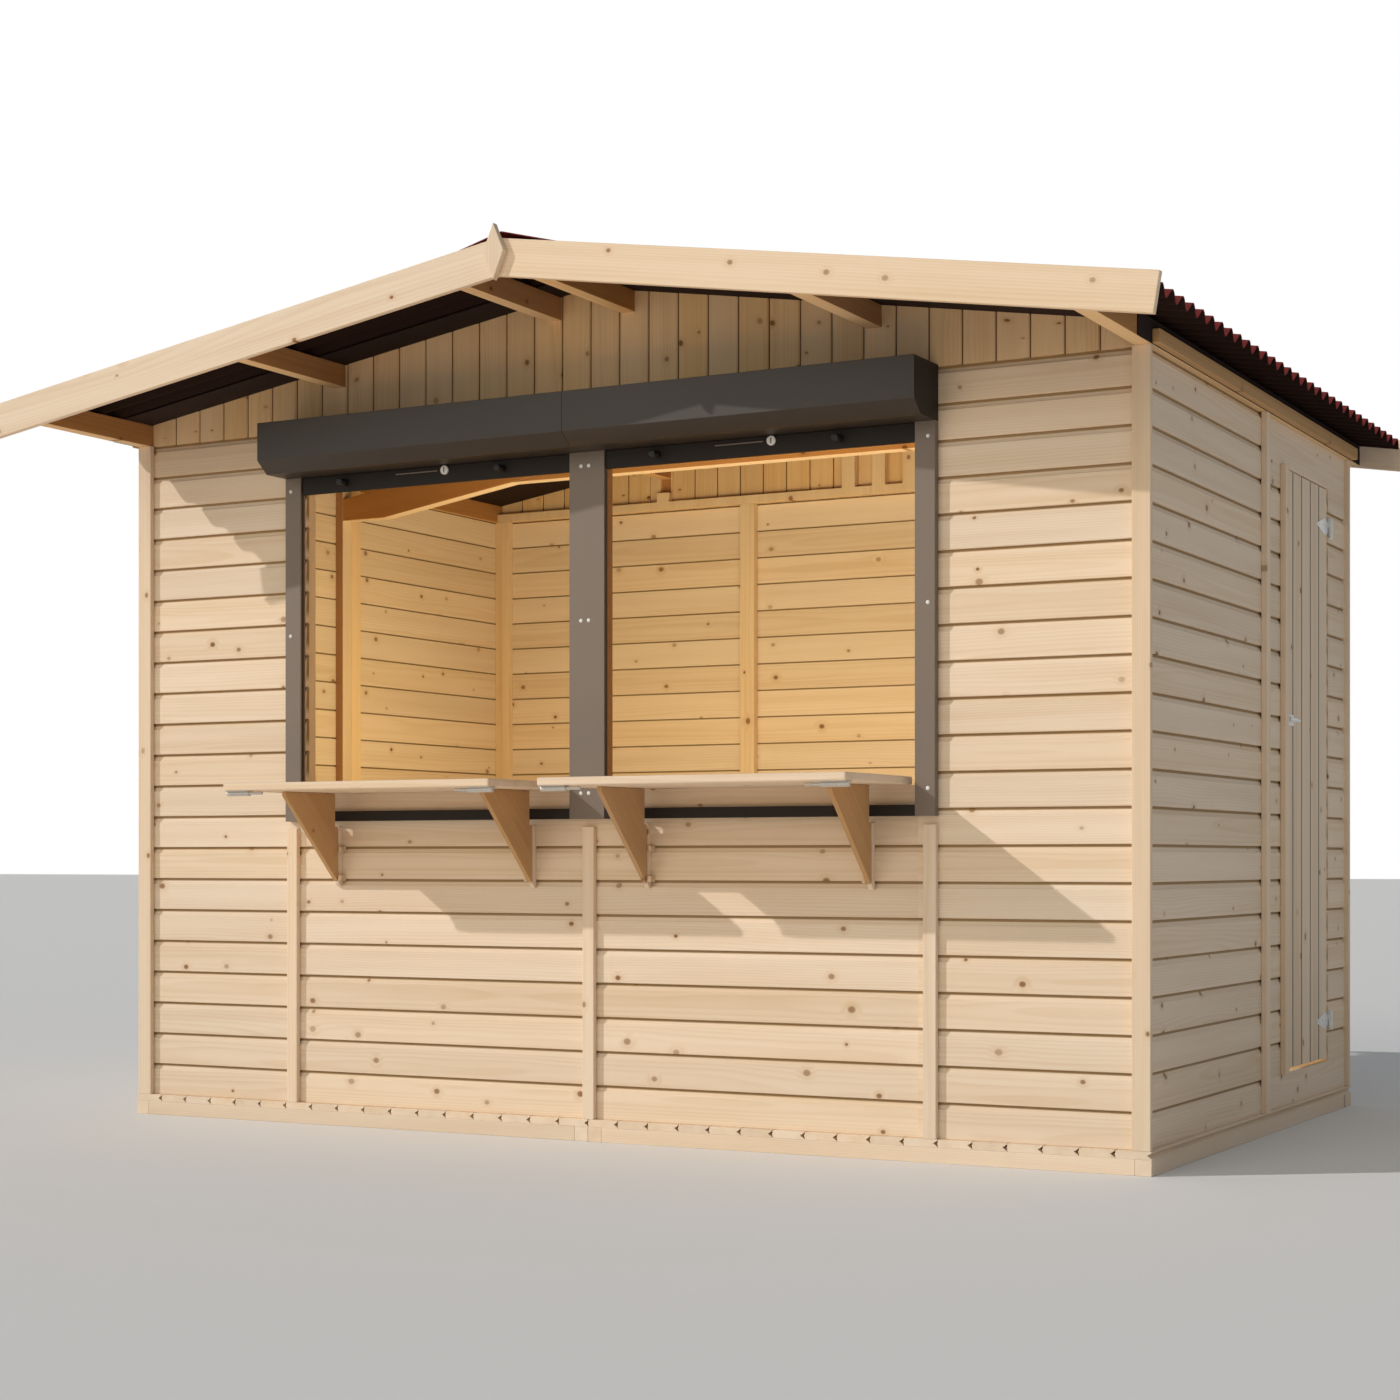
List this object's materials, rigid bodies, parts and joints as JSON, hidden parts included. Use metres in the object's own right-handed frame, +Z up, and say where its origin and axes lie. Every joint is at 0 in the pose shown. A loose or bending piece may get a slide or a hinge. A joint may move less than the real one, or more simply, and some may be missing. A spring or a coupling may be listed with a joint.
{
  "type": "wooden market stall",
  "caption": "Timber market stall with a gabled corrugated roof, a shuttered serving front with hinged counters on folding brackets, and a side door.",
  "frame": {"origin": "on the ground at the centre of the floor", "axes": "+X to the right of the serving front, +Y towards the back wall, +Z up"},
  "size_m": [3.3128, 2.465, 2.2632],
  "materials": {
    "spruce": "planed spruce, knotty, untreated",
    "spruce_inside": "planed spruce, knotty, warm inside tone",
    "truss_wood": "sawn spruce, darker",
    "anthracite": "powder coated, satin",
    "zinc": "zinc plated",
    "roofing_felt": "mineral felt, matt",
    "bitumen_sheet": "fibre bitumen, red brown on top, black underneath",
    "black_plastic": "moulded, matt"
  },
  "bodies": {
    "stall": {"floor_joists": "spruce", "floor_rims": "spruce", "floor_boards": "spruce", "front_side_panels": "spruce", "front_breast_wall": "spruce", "front_post": "spruce_inside", "front_header": "spruce", "gables": "spruce", "gable_frames": "spruce_inside", "left_wall": "spruce", "back_wall": "spruce", "right_wall_front": "spruce", "door_side_panels": "spruce", "door_sill_and_header": "spruce", "front_studs": "spruce_inside", "front_beams": "spruce_inside", "back_studs": "spruce_inside", "side_posts": "spruce_inside", "outer_battens": "spruce", "door_trim": "spruce", "purlins": "spruce", "truss_rafter_left": "truss_wood", "truss_rafter_right": "truss_wood", "truss_collar": "truss_wood", "roof_felt": "roofing_felt", "roof_sheets": "bitumen_sheet", "ridge_cap": "bitumen_sheet", "barge_boards_left": "spruce", "barge_boards_right": "spruce", "ridge_finials": "spruce", "eave_boards": "spruce", "shutter_boxes": "anthracite", "shutter_rails": "anthracite", "shutter_sill_rails": "anthracite", "shutter_bars": "anthracite", "shutter_stops": "black_plastic", "shutter_locks": "zinc", "counter_hinges": "zinc", "bracket_cleats": "spruce", "bracket_hinges": "zinc", "door_hinge_plates": "zinc"},
    "door": {"door_leaf": "spruce", "door_ledges": "spruce_inside", "door_hinge_straps": "zinc", "door_bolt": "zinc"},
    "counter_left": {"counter_left": "spruce", "counter_left_bolts": "zinc"},
    "counter_right": {"counter_right": "spruce", "counter_right_bolts": "zinc"},
    "bracket_left_outer": {"bracket_left_outer": "spruce"},
    "bracket_left_inner": {"bracket_left_inner": "spruce"},
    "bracket_right_inner": {"bracket_right_inner": "spruce"},
    "bracket_right_outer": {"bracket_right_outer": "spruce"}
  },
  "joints": [
    {"name": "door_swing", "type": "hinge", "parent": "stall", "child": "door", "pos_m": [1.492, 0.727, 0.97], "axis": [0, 0, 1], "range_deg": [0, 110]},
    {"name": "counter_left_lift", "type": "hinge", "parent": "stall", "child": "counter_left", "pos_m": [-0.4835, -0.9107, 0.91], "axis": [-1, 0, 0], "range_deg": [0, 90]},
    {"name": "counter_right_lift", "type": "hinge", "parent": "stall", "child": "counter_right", "pos_m": [0.4835, -0.9107, 0.91], "axis": [-1, 0, 0], "range_deg": [0, 90]},
    {"name": "bracket_left_outer_fold", "type": "hinge", "parent": "stall", "child": "bracket_left_outer", "pos_m": [-0.7822, -0.9447, 0.72], "axis": [0, 0, 1], "range_deg": [0, 90]},
    {"name": "bracket_left_inner_fold", "type": "hinge", "parent": "stall", "child": "bracket_left_inner", "pos_m": [-0.1848, -0.9447, 0.72], "axis": [0, 0, -1], "range_deg": [0, 90]},
    {"name": "bracket_right_inner_fold", "type": "hinge", "parent": "stall", "child": "bracket_right_inner", "pos_m": [0.1848, -0.9447, 0.72], "axis": [0, 0, 1], "range_deg": [0, 90]},
    {"name": "bracket_right_outer_fold", "type": "hinge", "parent": "stall", "child": "bracket_right_outer", "pos_m": [0.7822, -0.9447, 0.72], "axis": [0, 0, -1], "range_deg": [0, 90]}
  ]
}
